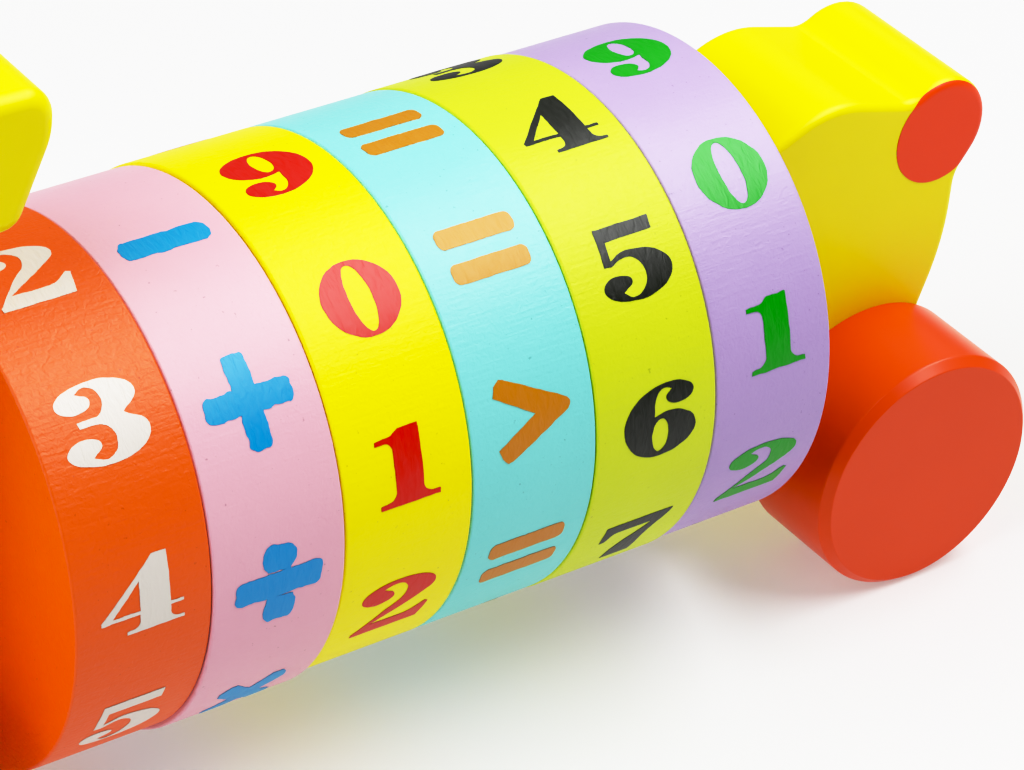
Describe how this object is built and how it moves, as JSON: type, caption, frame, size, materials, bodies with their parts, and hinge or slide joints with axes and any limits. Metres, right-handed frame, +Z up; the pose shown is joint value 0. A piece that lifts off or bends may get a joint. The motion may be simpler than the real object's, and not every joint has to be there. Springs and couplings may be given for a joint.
{
  "type": "wooden arithmetic ring toy",
  "caption": "Animal-shaped wooden counting toy: numbered rings turn on a dowel between a head block and a tail block on round feet, to line up sums.",
  "frame": {"origin": "on the floor under the feet, at the middle of the whole toy's length and width", "axes": "+X along the spindle from the head to the tail, +Y to the animal's right, +Z up"},
  "size_m": [0.1912, 0.0604, 0.0962],
  "materials": {
    "block_paint": "yellow gloss paint on wood",
    "dowel_wood": "bare beech",
    "foot_paint": "red gloss paint on wood",
    "orange_paint": "orange satin paint on wood",
    "pink_paint": "pink satin paint on wood",
    "yellow_paint": "yellow satin paint on wood",
    "light_blue_paint": "light blue satin paint on wood",
    "lime_paint": "lime satin paint on wood",
    "lilac_paint": "lilac satin paint on wood"
  },
  "bodies": {
    "toy_body": {"head_block": "block_paint", "tail_block": "block_paint", "spindle": "dowel_wood", "front_cross_dowel": "dowel_wood", "rear_cross_dowel": "dowel_wood", "foot_front_left": "foot_paint", "foot_front_right": "foot_paint", "foot_rear_left": "foot_paint", "foot_rear_right": "foot_paint"},
    "first_number": {"ring_first_number": "orange_paint"},
    "operation": {"ring_operation": "pink_paint"},
    "second_number": {"ring_second_number": "yellow_paint"},
    "relation": {"ring_relation": "light_blue_paint"},
    "tens": {"ring_tens": "lime_paint"},
    "units": {"ring_units": "lilac_paint"}
  },
  "joints": [
    {"name": "turn_first_number", "type": "hinge", "parent": "toy_body", "child": "first_number", "pos_m": [-0.0349, 0, 0.0388], "axis": [1, 0, 0], "continuous": true},
    {"name": "turn_operation", "type": "hinge", "parent": "toy_body", "child": "operation", "pos_m": [-0.01818, 0, 0.0383], "axis": [1, 0, 0], "continuous": true},
    {"name": "turn_second_number", "type": "hinge", "parent": "toy_body", "child": "second_number", "pos_m": [-0.00146, 0, 0.0388], "axis": [1, 0, 0], "continuous": true},
    {"name": "turn_relation", "type": "hinge", "parent": "toy_body", "child": "relation", "pos_m": [0.01526, 0, 0.0388], "axis": [1, 0, 0], "continuous": true},
    {"name": "turn_tens", "type": "hinge", "parent": "toy_body", "child": "tens", "pos_m": [0.03198, 0, 0.0388], "axis": [1, 0, 0], "continuous": true},
    {"name": "turn_units", "type": "hinge", "parent": "toy_body", "child": "units", "pos_m": [0.0487, 0, 0.0388], "axis": [1, 0, 0], "continuous": true}
  ]
}
